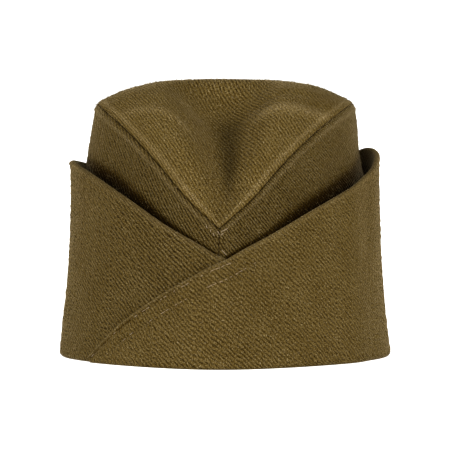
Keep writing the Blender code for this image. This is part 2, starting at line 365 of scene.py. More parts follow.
# Flap edges. Height runs from the low end (0) over the crossing (1) and the peak (2) to the centre
# back (3), and lean is how far the edge stands off the crown, in metres
FLAP_COLUMNS = ("station", "height", "lean")
RIGHT_FLAP = (
    (-LAP_STATION, 0.00, 0.0000),
    (-0.25, 0.32, 0.0000),
    (-0.15, 0.64, 0.0000),
    (-0.05, 0.87, 0.0000),
    (0.05, 1.08, 0.0004),
    (0.15, 1.28, 0.0018),
    (0.25, 1.51, 0.0042),
    (0.35, 1.72, 0.0060),
    (0.42, 1.85, 0.0062),
    (0.47, 1.94, 0.0056),
    (0.52, 1.98, 0.0056),
    (0.57, 2.00, 0.0056),
    (0.65, 2.06, 0.0050),
    (0.75, 2.32, 0.0030),
    (0.87, 2.74, 0.0010),
    (1.00, 3.00, 0.0002),
)
LEFT_FLAP = (
    (-LAP_STATION, 0.00, 0.0000),
    (-0.25, 0.32, 0.0000),
    (-0.15, 0.64, 0.0000),
    (-0.07, 0.84, 0.0000),
    (-0.02, 1.01, 0.0000),
    (0.00, 1.045, 0.0002),
    (0.05, 1.155, 0.0008),
    (0.15, 1.38, 0.0038),
    (0.25, 1.66, 0.0066),
    (0.35, 1.88, 0.0066),
    (0.42, 1.97, 0.0054),
    (0.47, 2.00, 0.0054),
    (0.52, 2.01, 0.0050),
    (0.60, 2.08, 0.0046),
    (0.70, 2.27, 0.0034),
    (0.80, 2.55, 0.0022),
    (0.90, 2.84, 0.0008),
    (1.00, 3.00, 0.0002),
)

# Lobe behind the right flap's peak
LOBE_HEIGHT = 0.0024
LOBE_STATION = 0.60
LOBE_LENGTH = 0.055

# Camera, fitted to the photograph
CAMERA_AZIMUTH = math.radians(1.9)
CAMERA_HEIGHT = 0.1635
CAMERA_DISTANCE = 2.4
CAMERA_AIM_HEIGHT = 0.0684
METRES_PER_PIXEL = 0.000524
FRAME_PIXELS = 450
SENSOR_MM = 36.0

# Millimetres in a metre
MILLIMETRES = 1000

# Steps in station that slopes and normals are measured over, and how near to a tip they may come
SLOPE_STEP = 0.002
NORMAL_STEP = 1e-3
NEAR_TIP = 1e-4

# Least lengths to divide by, and the rise from which a thread counts as upright
LEAST_LENGTH = 1e-12
LEAST_RUN = 1e-9
NEARLY_UPRIGHT = 0.9


def follow(table, columns, name, station):
    """Values of one column at stations, on a smooth curve through the table's rows."""
    at = columns.index(name)
    x = np.array([row[0] for row in table])
    y = np.array([row[at] for row in table])
    low = np.maximum(np.arange(len(x)) - 1, 0)
    high = np.minimum(np.arange(len(x)) + 1, len(x) - 1)
    slope = (y[high] - y[low]) / (x[high] - x[low])
    station = np.clip(station, x[0], x[-1])
    i = np.clip(np.searchsorted(x, station, side="left") - 1, 0, len(x) - 2)
    span = x[i + 1] - x[i]
    t = (station - x[i]) / span
    return (y[i] * (1 + 2 * t) * (1 - t) ** 2 + y[i + 1] * t * t * (3 - 2 * t)
            + span * slope[i] * t * (1 - t) ** 2 + span * slope[i + 1] * t * t * (t - 1))


def step(start, end, value):
    t = np.clip((value - start) / (end - start), 0, 1)
    return t * t * (3 - 2 * t)


def bell(value, width):
    return np.exp(-(value / width) ** 2)


def unit(vectors):
    return vectors / np.maximum(np.linalg.norm(vectors, axis=-1, keepdims=True), LEAST_LENGTH)


def ripple(a, b, seed, waves=SLOW_WAVES):
    """Smooth irregular field of about -1 to 1, a sum of seeded sines with periods of about one unit."""
    draw = np.random.default_rng(seed)
    total = np.zeros(np.broadcast(a, b).shape)
    for _ in range(waves):
        turn = draw.uniform(0, 2 * math.pi)
        rate = 2 * math.pi * draw.uniform(*WAVE_RATES)
        start = draw.uniform(0, 2 * math.pi)
        total += np.sin(rate * (a * math.cos(turn) + b * math.sin(turn)) + start)
    return total / math.sqrt(waves * 2)


def rim(station):
    """Crown's outer face at the rim, right-hand side, as rows of X, Y, Z."""
    turn = math.pi * station
    pointing = np.where(station < 0.5, FRONT_POINT, BACK_POINT)
    x = RIM_HALF_WIDTH * np.sin(turn) * (1 - pointing * np.cos(turn) ** 2)
    y = CENTRE_Y - RIM_HALF_LENGTH * np.cos(turn)
    return np.stack([x, y, np.zeros_like(x)], axis=-1)


def ridge(station):
    """Ridge seam, right-hand side."""
    tip = np.where(station < 0.5, FRONT_TIP_HEIGHT, BACK_TIP_HEIGHT)
    x = RIDGE_HALF_WIDTH * follow(RIDGE_SECTIONS, RIDGE_COLUMNS, "out", station)
    y = CENTRE_Y + RIDGE_HALF_LENGTH * follow(RIDGE_SECTIONS, RIDGE_COLUMNS, "along", station)
    z = tip + (RIDGE_HEIGHT - tip) * follow(RIDGE_SECTIONS, RIDGE_COLUMNS, "up", station)
    return np.stack([x, y, z], axis=-1)


def wall(station, level):
    """Outer face of the crown's wall, right-hand side: level 0 is the rim and 1 the ridge seam."""
    low = rim(station)
    high = ridge(station)
    level = level[..., None]
    outward = np.stack([low[..., 0] / RIM_HALF_WIDTH, (low[..., 1] - CENTRE_Y) / RIM_HALF_LENGTH,
                        np.zeros_like(low[..., 0])], axis=-1)
    return low + (high - low) * level + outward * SIDE_BULGE * np.sin(math.pi * level ** 2)


def top(station, across, dented=1.0):
    """Outer face of the top panel, across from -1 at the left ridge seam to 1 at the right one."""
    edge = ridge(station)
    width = follow(RIDGE_SECTIONS, RIDGE_COLUMNS, "width", station)
    arch = follow(RIDGE_SECTIONS, RIDGE_COLUMNS, "arch", station)
    dent = follow(RIDGE_SECTIONS, RIDGE_COLUMNS, "dent", station)
    height = TOP_ARCH * arch * (1 - np.abs(across) ** ARCH_POWER)
    aside = follow(RIDGE_SECTIONS, RIDGE_COLUMNS, "aside", station)
    height = height - dented * TOP_DENT * dent * bell(across - aside, width) * (1 - across ** 2)
    return np.stack([edge[..., 0] * across, edge[..., 1], edge[..., 2] + height], axis=-1)


def crown_at(station, height):
    """Crown's outer face at a height. Stations run on over the front and back seams."""
    around = 1 - np.abs(1 - np.abs(station))
    point = wall(around, height / ridge(around)[..., 2])
    point[..., 0] *= np.where((station < 0) | (station > 1), -1, 1)
    point[..., 2] = height
    return point


def level_normal(station, height):
    """Level outward direction of the crown's wall at a height, turning smoothly round its seams."""
    along = crown_at(station + NOSE_SPREAD, height) - crown_at(station - NOSE_SPREAD, height)
    return unit(np.stack([along[..., 1], -along[..., 0], np.zeros_like(height)], axis=-1))


def flap_height(table, peak, station):
    heights = np.array([FLAP_END_HEIGHT, CROSSING_HEIGHT, peak, BACK_HEIGHT])
    return np.interp(follow(table, FLAP_COLUMNS, "height", station), [0, 1, 2, 3], heights)


def flap_of(side):
    return (RIGHT_FLAP, RIGHT_PEAK) if side == RIGHT else (LEFT_FLAP, LEFT_PEAK)


def edge_height(side, station):
    table, peak = flap_of(side)
    lobe = LOBE_HEIGHT * bell(station - LOBE_STATION, LOBE_LENGTH) if side == RIGHT else 0
    return flap_height(table, peak, station) + lobe


def flap_gap(side, station, height):
    """Distance from the crown to a flap's inner face. The edge leans off the crown, and the right flap
    lies one cloth further out where it laps over the left one."""
    lean = follow(flap_of(side)[0], FLAP_COLUMNS, "lean", station)
    gap = CLOTH_GAP + lean * (height / edge_height(side, station)) ** LEAN_POWER
    if side == LEFT:
        return np.where(station < 0, CLOTH_GAP, gap)
    lapping = 1 - step(LAP_STATION, LAP_STATION + LAP_RUN_OUT, station)
    gap = gap + (CURTAIN_CLOTH + CLOTH_GAP) * lapping
    under = flap_gap(LEFT, np.maximum(-station, 0), height) + CURTAIN_CLOTH + CLOTH_GAP
    return np.where(station < 0, under, gap)


def flap_point(side, station, height, away):
    """Point of a flap at a distance out from its inner face."""
    reach = flap_gap(side, station, height) + away
    point = crown_at(station, height) + level_normal(station, height) * reach[..., None]
    point[..., 0] *= side
    return point


def grid_normals(points):
    """Unit normals of a grid of points, one-sided at its edges."""
    return unit(np.cross(np.gradient(points, axis=0), np.gradient(points, axis=1)))


def lengths(points, axis):
    """Length along a grid's lines from its first row or column."""
    steps = np.linalg.norm(np.diff(points, axis=axis), axis=-1)
    start = np.zeros_like(np.take(steps, [0], axis=axis))
    return np.concatenate([start, np.cumsum(steps, axis=axis)], axis=axis)


def ring_mesh(name, points, cloth, flip, pale_and_painted_shade):
    """Closed solid whose rows are rings of points, with the flat cloth's millimetres as its UV map and
    its paleness and painted shade. Each end ring is closed in strips between the first half of its points
    and the second."""
    rows, size = points.shape[:2]
    index = np.arange(rows * size).reshape(rows, size)
    ahead = np.roll(index, -1, axis=1)
    quads = np.stack([index[:-1], ahead[:-1], ahead[1:], index[1:]], axis=-1).reshape(-1, 4)
    half = size // 2
    i = np.arange(half - 1)
    ends = np.stack([i, size - 1 - i, size - 2 - i, i + 1], axis=-1)
    quads = np.concatenate([quads, ends, (ends + (rows - 1) * size)[:, ::-1]])
    if flip:
        quads = quads[:, ::-1]
    return finished_mesh(name, points.reshape(-1, 3), quads, cloth.reshape(-1, 2), pale_and_painted_shade)


def finished_mesh(name, points, faces, cloth=None, pale_and_painted_shade=None):
    data = bpy.data.meshes.new(name)
    data.from_pydata(points.tolist(), [], list(faces))
    if cloth is not None:
        corners = np.empty(len(data.loops), dtype=np.int32)
        data.loops.foreach_get("vertex_index", corners)
        layer = data.uv_layers.new(name="cloth")
        layer.data.foreach_set("uv", cloth[corners].astype(np.float32).ravel())
        layer = data.attributes.new("pale_and_painted_shade", "FLOAT", "POINT")
        layer.data.foreach_set("value", pale_and_painted_shade.astype(np.float32).ravel())
    data.shade_smooth()
    piece = bpy.data.objects.new(name, data)
    bpy.context.scene.collection.objects.link(piece)
    return piece


def rounding(distance, radius):
    """Share of a rounded edge's drop, 1 at the edge and 0 from one radius away."""
    near = 1 - np.clip(distance / radius, 0, 1)
    return 1 - np.sqrt(1 - near ** 2)


def dense_at_ends(count, start=0.0, end=1.0):
    t = np.linspace(0, 1, count)
    return start + (end - start) * (t - END_CROWD * np.sin(2 * math.pi * t) / (2 * math.pi))


def ridge_bisector(stations):
    """Direction half way between the wall's and the top panel's normals at the ridge seam."""
    station = np.clip(stations, SEAM_END, 1 - SEAM_END)
    one = np.ones_like(station)
    low = np.maximum(station - NORMAL_STEP, NEAR_TIP)
    high = np.minimum(station + NORMAL_STEP, 1 - NEAR_TIP)
    along = unit(ridge(high) - ridge(low))
    side = unit(np.cross(along, wall(station, one) - wall(station, one - NORMAL_STEP)))
    above = unit(np.cross(top(station, one) - top(station, one - NORMAL_STEP), along))
    return unit(side + above)[:, None, :]


def offset_at_seams(normal, seams):
    """Cloth's outward directions turned to each seam's shared direction near it. seams holds
    (distance, direction) pairs."""
    for distance, direction in seams:
        near = (1 - step(0, SEAM_REACH, distance))[..., None]
        normal = unit(normal * (1 - near) + direction * near)
    return normal


def side_panel(name, side):
    """Crown wall on one side, its seams rolled in and a soft welt beside the ridge seam."""
    levels = 1 - (1 - np.linspace(0, 1, WALL_LEVELS)) ** WALL_CROWD
    station, level = np.meshgrid(dense_at_ends(WALL_STATIONS), levels, indexing="ij")
    base = wall(station, level)
    normal = grid_normals(base)
    up = lengths(base, 1)
    from_front = lengths(base, 0)
    from_back = from_front[-1:] - from_front
    from_ridge = up[:, -1:] - up
    seams = (
        (from_front, unit(normal[:1] * (0, 1, 1))),
        (from_back, unit(normal[-1:] * (0, 1, 1))),
        (from_ridge, ridge_bisector(station[:, -1])),
    )
    turned = offset_at_seams(normal, seams)

    seed = WALL_SEEDS[side]
    seam = np.minimum(np.minimum(from_front, from_back), from_ridge)
    welt = bell(from_ridge - WELT_INSET, WELT_WIDTH)
    wave = ripple(from_front / WALL_WAVE_SIZE[0], up / WALL_WAVE_SIZE[1], seed)
    relief = -SEAM_DROP * rounding(seam, SEAM_ROLL)
    relief += WELT_HEIGHT * welt * step(*WELT_STARTS, station) * step(*WELT_ENDS, station)
    relief += WALL_WAVE * wave * step(0, WAVE_REACH, seam)
    relief += nap_bumps(from_front, up, seed) * step(0, NAP_REACH, seam)
    if side == RIGHT:
        pressed = bell(base[..., 2] - PRESS_HEIGHT, PRESS_REACH) * bell(station - 0.5, PRESS_LENGTH)
        relief -= PRESS * pressed
    outer = base + turned * relief[..., None]
    hem = 1 - HEM_THINNING * rounding(up, CROWN_CLOTH * HEM_ROUND)
    inner = base - turned * (CROWN_CLOTH * hem)[..., None]
    inner[:, 0, 2] = 0
    outer[..., 2] = np.maximum(outer[..., 2], 0)
    outer[..., 0] *= side
    inner[..., 0] *= side

    cloth = np.stack([side * from_front, up], axis=-1) * MILLIMETRES
    # Paler on the welt, with painted shade in the seam grooves and on the crown above the flap's edge
    pale_and_painted_shade = WELT_PALE * welt + painted_seam_shade(seam, base, seed) + painted_shade_above_flap(side, station, base[..., 2])
    return two_faced(name, outer, inner, cloth, side == RIGHT, pale_and_painted_shade)


def two_faced(name, outer, inner, cloth, flip, pale_and_painted_shade):
    """Closed panel with an outer and an inner face, of which only the outer one carries paleness and
    painted shade.
    """
    points = np.concatenate([outer, inner[:, ::-1]], axis=1)
    cloth = np.concatenate([cloth, cloth[:, ::-1]], axis=1)
    return ring_mesh(name, points, cloth, flip, np.concatenate([pale_and_painted_shade, np.zeros_like(pale_and_painted_shade)], axis=1))


def painted_seam_shade(seam, base, seed):
    """Painted shade in the groove where the cloth turns into a seam, broken up along it."""
    level = (base[..., 0] + base[..., 1]) / SEAM_BREAK
    broken = ripple(level, base[..., 2] / SEAM_BREAK, seed, FINE_WAVES)
    return SEAM_PAINTED_SHADE * bell(seam, SEAM_SHADE_WIDTH) * step(*SEAM_FADE, broken)


def nap_bumps(first, second, seed):
    """Small bumps of the wool nap over a surface whose two lengths are given."""
    return NAP_BUMP * ripple(first / NAP_BUMP_SIZE, second / NAP_BUMP_SIZE, seed, NAP_WAVES)


def painted_shade_above_flap(side, station, height):
    """Painted shade on the crown where the turn-up shades it: full below its edge, fading out above it,
    and least at the centre front, where the flap lies close."""
    above = (height - edge_height(side, station)) / np.sqrt(1 + edge_slope(side, station) ** 2)
    open_gap = step(*ABOVE_FLAP_SHADE_STATIONS, station)
    reach = ABOVE_FLAP_SHADE_REACH * (LEAST_ABOVE_FLAP_SHADE_REACH + (1 - LEAST_ABOVE_FLAP_SHADE_REACH) * open_gap)
    share = LEAST_ABOVE_FLAP_SHADE + (1 - LEAST_ABOVE_FLAP_SHADE) * open_gap
    return ABOVE_FLAP_PAINTED_SHADE * share * bell(np.maximum(above, 0), reach)


def top_panel(name):
    """Top panel between the ridge seams, with the dent that runs down its front."""
    station, across = np.meshgrid(dense_at_ends(TOP_STATIONS, *TOP_SPAN), dense_at_ends(TOP_COLUMNS, -1, 1),
                                  indexing="ij")
    base = top(station, across)
    from_left = lengths(base, 1)
    from_right = from_left[:, -1:] - from_left
    right = ridge_bisector(station[:, -1])
    turned = offset_at_seams(-grid_normals(base), ((from_left, right * (-1, 1, 1)), (from_right, right)))

    seam = np.minimum(from_left, from_right)
    inside = step(0, FOLD_REACH, seam)
    relief = -SEAM_DROP * rounding(seam, SEAM_ROLL)
    for here, there, amount, length, breadth in TOP_FOLDS:
        relief += amount * bell(station - here, length) * bell(across - there, breadth) * inside
    # Paler beside the seams and on the creases' crests, with painted shade in the seam grooves
    pale_and_painted_shade = WELT_PALE * bell(seam - WELT_INSET, WELT_WIDTH) + painted_seam_shade(seam, base, TOP_SEED)
    for row in TOP_CREASES:
        crest = crease(station, across, *row)
        relief += crest * inside
        pale_and_painted_shade = pale_and_painted_shade + CREASE_PALE * np.maximum(crest, 0) / TOP_CREASES[0][-1]
    wave = ripple(base[..., 0] / TOP_WAVE_SIZE[0], base[..., 1] / TOP_WAVE_SIZE[1], TOP_SEED)
    relief += TOP_WAVE * wave * step(0, TOP_WAVE_REACH, seam)
    relief += nap_bumps(from_left, lengths(base, 0), TOP_SEED) * step(0, NAP_REACH, seam)
    outer = base + turned * relief[..., None]
    inner = base - turned * CROWN_CLOTH
    return two_faced(name, outer, inner, top_cloth_map(station, across, base), False, pale_and_painted_shade)


def top_cloth_map(station, across, base):
    """Flat cloth's millimetres on the top panel. The front half's cloth is pulled down where the panel
    drops to its sides and into the dent, and it is eased along the panel before its highest part."""
    flat = top(station, across, 0.0)
    middle = TOP_COLUMNS // 2
    dent_drop = flat[..., 2] - base[..., 2]
    side_drop = flat[:, middle, 2][:, None] - flat[..., 2]
    pulled = DENT_CLOTH_PULL * dent_drop + SIDE_CLOTH_PULL * side_drop
    pulled *= step(*CLOTH_PULL_STATIONS, station)
    width = lengths(flat, 1)
    rows = np.diff(lengths(flat, 0)[:, middle], prepend=0)
    eased = 1 - CLOTH_EASE * bell(station[:, 0] - CLOTH_EASE_STATION, CLOTH_EASE_LENGTH)
    up = np.cumsum(rows * eased)[:, None] - pulled
    return np.stack([width - width[:, -1:] / 2, up], axis=-1) * MILLIMETRES


def crease(station, across, start, end, from_station, bow, to_station, height):
    """Height of a crease that runs across the top panel."""
    t = (across - start) / (end - start)
    line = from_station + (to_station - from_station) * t + 4 * bow * t * (1 - t)
    return bell(station - line, CREASE_BREADTH) * step(*CREASE_STARTS, t) * step(*CREASE_ENDS, t) * height


def around_rim(side, station):
    """Length along a flap's rim from the centre front."""
    grid = np.linspace(-LAP_STATION, 1, RIM_SAMPLES)
    line = flap_point(side, grid, np.zeros_like(grid), np.full_like(grid, CURTAIN_CLOTH))
    length = lengths(line, 0)
    return np.interp(station, grid, length - np.interp(0, grid, length))


def edge_slope(side, station):
    """Rise of a flap's edge along its rim."""
    low = station - SLOPE_STEP
    high = station + SLOPE_STEP
    run = around_rim(side, high) - around_rim(side, low) + LEAST_RUN
    return (edge_height(side, high) - edge_height(side, low)) / run


def flap_relief(side, station, height, below_edge):
    """Outward relief of a flap's outer face: edge bead, back seam, waves, nap and pulled-in stitch rows."""
    around = around_rim(side, station)
    wave = ripple(around / FLAP_WAVE_SIZE[0], height / FLAP_WAVE_SIZE[1], FLAP_SEEDS[side])
    relief = EDGE_BEAD * bell(below_edge - EDGE_BEAD_INSET, EDGE_BEAD_INSET)
    relief = relief - SEAM_DROP * rounding(around_rim(side, 1.0) - around, SEAM_ROLL)
    relief += FLAP_WAVE * wave * step(0, WAVE_REACH, height)
    relief += FLAP_NAP * nap_bumps(around, height, FLAP_SEEDS[side])
    if side == RIGHT:
        for start, end, inset in STITCH_ROWS:
            there = step(start - ROW_FADE, start, station) * step(end + ROW_FADE, end, station)
            relief -= STITCH_PULL * bell(below_edge - inset, STITCH_PULL_WIDTH) * there
    return relief


def flap_pale_and_painted_shade(side, station, height, below_edge, outside):
    """Paleness and painted shade of a flap: pale on its edge, painted light on the lapping edge, and
    painted shade deep inside and in the groove of the lap's stitch row.
    """
    pale_and_painted_shade = EDGE_PALE * bell(below_edge - EDGE_BEAD_INSET / 2, EDGE_BEAD_INSET) * outside
    if side == RIGHT:
        start, end, inset = STITCH_ROWS[0]
        there = step(start - ROW_FADE, start, station) * step(end, start, station)
        broken = ripple(station * LAP_BREAKS, height / SEAM_BREAK, FLAP_SEEDS[side], FINE_WAVES)
        lap = LAP_PAINTED_LIGHT * bell(below_edge - LAP_INSET, LAP_INSET)
        lap += GROOVE_PAINTED_SHADE * bell(below_edge - inset, GROOVE_WIDTH)
        pale_and_painted_shade = pale_and_painted_shade + lap * there * outside * step(*LAP_FADE, broken)
    deep = (1 - step(0, INSIDE_SHARE, outside)) * step(*INSIDE_DEPTHS, below_edge)
    return pale_and_painted_shade + INSIDE_FLAP_PAINTED_SHADE * deep


def flap(name, side):
    """One flap of the turn-up: a double cloth with a round top edge and a round fold at the rim."""
    stations = np.linspace(-LAP_STATION, 1, FLAP_STATIONS)
    edge = edge_height(side, stations)
    slope = edge_slope(side, stations)

    roll = CURTAIN_CLOTH / 2
    turn = np.linspace(0, math.pi, EDGE_STEPS + 2)[1:-1]
    fold_turn = np.linspace(0, math.pi / 2, FOLD_STEPS)
    share = np.linspace(0, 1, FLAP_LEVELS)
    half = FLAP_LEVELS + (EDGE_STEPS + 2) // 2
    tall = (edge - roll)[:, None]
    inner_z = tall * share
    roll_z = tall + roll * np.sin(turn)
    outer_z = tall + (FOLD_RADIUS - tall) * share ** FLAP_CROWD
    fold_z = FOLD_RADIUS * (1 - np.sin(fold_turn))[None, 1:] + 0 * tall
    inner_out = np.zeros(FLAP_LEVELS)
    roll_out = roll * (1 - np.cos(turn))
    outer_out = np.full(FLAP_LEVELS, CURTAIN_CLOTH)
    fold_out = CURTAIN_CLOTH - FOLD_RADIUS * (1 - np.cos(fold_turn))[1:]
    height = np.concatenate([inner_z, roll_z, outer_z, fold_z], axis=1)
    away = np.concatenate([inner_out, roll_out, outer_out, fold_out])[None, :] + 0 * tall
    station = stations[:, None] + 0 * height
    below_edge = (edge[:, None] - height) / np.sqrt(1 + slope[:, None] ** 2)
    relief = flap_relief(side, station, height, below_edge)
    away = away + relief * step(RELIEF_STARTS, 1, away / CURTAIN_CLOTH) * step(0, FOLD_RADIUS, height)
    points = flap_point(side, station, height, away)
    points[..., 2] = np.maximum(points[..., 2], 0)
    pale_and_painted_shade = flap_pale_and_painted_shade(side, station, height, below_edge, step(0, CURTAIN_CLOTH, away))

    ring = lengths(points, 1)
    turned = lengths(points, 0)
    front = np.stack([np.interp(0, stations, column) for column in turned.T])
    rise = edge[:, None] - (ring - ring[:, half - 1:half])
    cloth = np.stack([side * (turned - front), rise], axis=-1) * MILLIMETRES
    # The strips that close the ends need as many points on each side of the edge
    shift = height.shape[1] // 2 - half
    points, cloth, pale_and_painted_shade = (np.roll(values, shift, axis=1) for values in (points, cloth, pale_and_painted_shade))
    return ring_mesh(name, points, cloth, side == RIGHT, pale_and_painted_shade)


def row_on_flap(side, start, end, inset, spacing):
    """Evenly spaced points on a flap's outer face at a distance below its edge, with the directions
    along the row and out of the cloth."""
    station = np.linspace(start, end, ROW_SAMPLES)
    height = edge_height(side, station) - inset * np.sqrt(1 + edge_slope(side, station) ** 2)
    relief = flap_relief(side, station, height, np.full_like(station, inset))
    line = flap_point(side, station, height, CURTAIN_CLOTH + relief)
    along = lengths(line, 0)
    at = np.arange(spacing / 2, along[-1], spacing)
    points = np.stack([np.interp(at, along, line[:, i]) for i in range(3)], axis=-1)
    forward = unit(np.gradient(points, axis=0))
    out = level_normal(np.interp(at, along, station), np.interp(at, along, height))
    out[:, 0] *= side
    return points, forward, out


def tubes(name, paths, radii, sides=THREAD_SIDES):
    """Closed round threads, one for each path of points, with a radius for each point."""
    count, size = paths.shape[:2]
    forward = unit(np.gradient(paths, axis=1))
    helper = np.where(np.abs(forward[..., 2:]) > NEARLY_UPRIGHT, (1.0, 0.0, 0.0), (0.0, 0.0, 1.0))
    first = unit(np.cross(forward, helper))
    second = np.cross(forward, first)
    turn = np.linspace(0, 2 * math.pi, sides, endpoint=False)
    circle = first[:, :, None] * np.cos(turn)[:, None] + second[:, :, None] * np.sin(turn)[:, None]
    points = paths[:, :, None] + circle * np.broadcast_to(radii, (count, size))[..., None, None]
    index = np.arange(count * size * sides).reshape(count, size, sides)
    ahead = np.roll(index, -1, axis=2)
    quads = np.stack([index[:, :-1], ahead[:, :-1], ahead[:, 1:], index[:, 1:]], axis=-1).reshape(-1, 4)
    faces = quads.tolist() + index[:, 0, ::-1].tolist() + index[:, -1].tolist()
    return finished_mesh(name, points.reshape(-1, 3), np.array(faces, dtype=object))


def hairs(name, cloth, seed):
    """Short loose wool hairs on a cloth's outer face."""
    draw = np.random.default_rng(seed)
    data = cloth.data
    centres = np.empty(len(data.polygons) * 3)
    normals = np.empty(len(data.polygons) * 3)
    areas = np.empty(len(data.polygons))
    data.polygons.foreach_get("center", centres)
    data.polygons.foreach_get("normal", normals)
    data.polygons.foreach_get("area", areas)
    centres = centres.reshape(-1, 3)
    normals = normals.reshape(-1, 3)
    outward = ((centres - (0, CENTRE_Y, HAIR_CENTRE_HEIGHT)) * normals).sum(axis=1) > 0
    share = np.where(outward, areas * (1 + EDGE_HAIRS * np.maximum(normals[:, 2], 0)), 0)
    chosen = draw.choice(len(share), HAIR_COUNT, p=share / share.sum())
    root = centres[chosen]
    normal = normals[chosen]
    length = HAIR_LENGTH * draw.uniform(SHORTEST_HAIR, 1.0, HAIR_COUNT)[:, None]
    length *= np.where(draw.random(HAIR_COUNT) < LONG_HAIRS, LONG_HAIR, 1)[:, None]
    lying = unit(np.cross(normal, draw.normal(size=(HAIR_COUNT, 3))))
    bent = unit(np.cross(normal, draw.normal(size=(HAIR_COUNT, 3))))
    rise = draw.uniform(*HAIR_RISE, HAIR_COUNT)[:, None]
    middle = root + length * (0.5 * lying + 0.5 * rise * normal)
    tip = middle + length * (HAIR_BEND * lying + HAIR_BEND * bent + HAIR_TIP_RISE * rise * normal)
    paths = np.stack([root - HAIR_ROOT * normal, middle, tip], axis=1)
    paths[..., 2] = np.maximum(paths[..., 2], 2 * HAIR_RADIUS)
    return tubes(name, paths, HAIR_RADIUS * np.array(HAIR_TAPER), HAIR_SIDES)


def stitch_row(name, row, seed):
    """Running stitches of one row, each lying in the cloth with its ends pulled under."""
    draw = np.random.default_rng(seed)
    points, forward, out = row_on_flap(RIGHT, *row, STITCH_PITCH)
    count = len(points)
    span = np.linspace(-0.5, 0.5, THREAD_POINTS)
    length = STITCH_LENGTH * draw.uniform(*STITCH_LENGTHS, count)
    shown = draw.random(count) < np.linspace(FIRST_SHOWN, LAST_SHOWN, count)
    sunk = np.where(shown, draw.uniform(*STITCH_STANDS, count), -STITCH_SINK)
    lift = STITCH_LIFT * (sunk[:, None] - STITCH_TUCK * (2 * np.abs(span)) ** 3)
    skew = unit(forward + np.cross(forward, out) * draw.normal(0, STITCH_SKEW, count)[:, None])
    paths = points[:, None] + skew[:, None] * (length[:, None] * span)[..., None]
    paths += out[:, None] * lift[..., None]
    return tubes(name, paths, STITCH_RADIUS * (1 - STITCH_TAPER * (2 * span) ** 2))


def on_front(aside, height):
    """Point of the crown's outer face near its front seam, with the direction out of it."""
    grid = np.linspace(0, TIP_SPAN, TIP_SAMPLES)
    level = np.full_like(grid, height)
    x = crown_at(grid, level)[:, 0]
    station = np.array([np.interp(abs(aside), x, grid)])
    side = np.array([math.copysign(1, aside), 1, 1])
    return crown_at(station, level[:1])[0] * side, level_normal(station, level[:1])[0] * side


def tip_stitches(name):
    """Light hand stitches that close the seams at the front tip, and the tack below them."""
    share = np.linspace(0, 1, THREAD_POINTS)
    paths = []
    for x0, z0, x1, z1 in TIP_STITCHES:
        path = []
        for t in share:
            point, out = on_front(x0 + (x1 - x0) * t, FRONT_TIP_HEIGHT + z0 + (z1 - z0) * t)
            path.append(point + out * TIP_STITCH_LIFT * (math.sin(math.pi * t) - TIP_STITCH_TUCK))
        paths.append(path)
    radii = TIP_STITCH_RADIUS * (1 - TIP_STITCH_TAPER * (2 * share - 1) ** 2)
    return tubes(name, np.array(paths), radii)


class Graph:
    """Short way to add nodes to one material."""

    def __init__(self, name):
        self.material = bpy.data.materials.new(name)
        self.material.use_nodes = True
        self.nodes = self.material.node_tree.nodes
        self.links = self.material.node_tree.links
        self.shader = self.nodes["Principled BSDF"]

    def put(self, socket, value):
        if isinstance(value, bpy.types.NodeSocket):
            self.links.new(value, socket)
        elif value is not None:
            socket.default_value = value

    def add(self, kind, inputs, **settings):
        node = self.nodes.new(kind)
        for key, value in settings.items():
            setattr(node, key, value)
        for key, value in inputs.items():
            self.put(node.inputs[key], value)
        return node

    def math(self, operation, first, second=None, third=None):
        return self.add("ShaderNodeMath", {0: first, 1: second, 2: third}, operation=operation).outputs[0]

    def weigh(self, first, share, second, other_share):
        return self.math("ADD", self.math("MULTIPLY", first, share),
                         self.math("MULTIPLY", second, other_share))

    def stretch(self, first, second, factors):
        x = self.math("MULTIPLY", first, factors[0])
        y = self.math("MULTIPLY", second, factors[1])
        return self.add("ShaderNodeCombineXYZ", {"X": x, "Y": y}).outputs[0]

    def noise(self, vector, scale, detail=2.0, roughness=0.5):
        inputs = {"Vector": vector, "Scale": scale, "Detail": detail, "Roughness": roughness}
        return self.add("ShaderNodeTexNoise", inputs).outputs["Fac"]

    def range(self, value, low, high, start=0.0, end=1.0):
        inputs = {"Value": value, "From Min": low, "From Max": high, "To Min": start, "To Max": end}
        return self.add("ShaderNodeMapRange", inputs).outputs[0]

    def blend(self, share, first, second, mode="MIX"):
        node = self.add("ShaderNodeMix", {}, data_type="RGBA", blend_type=mode)
        self.put(node.inputs["Factor"], share)
        self.put(node.inputs[6], first)
        self.put(node.inputs[7], second)
        return node.outputs[2]


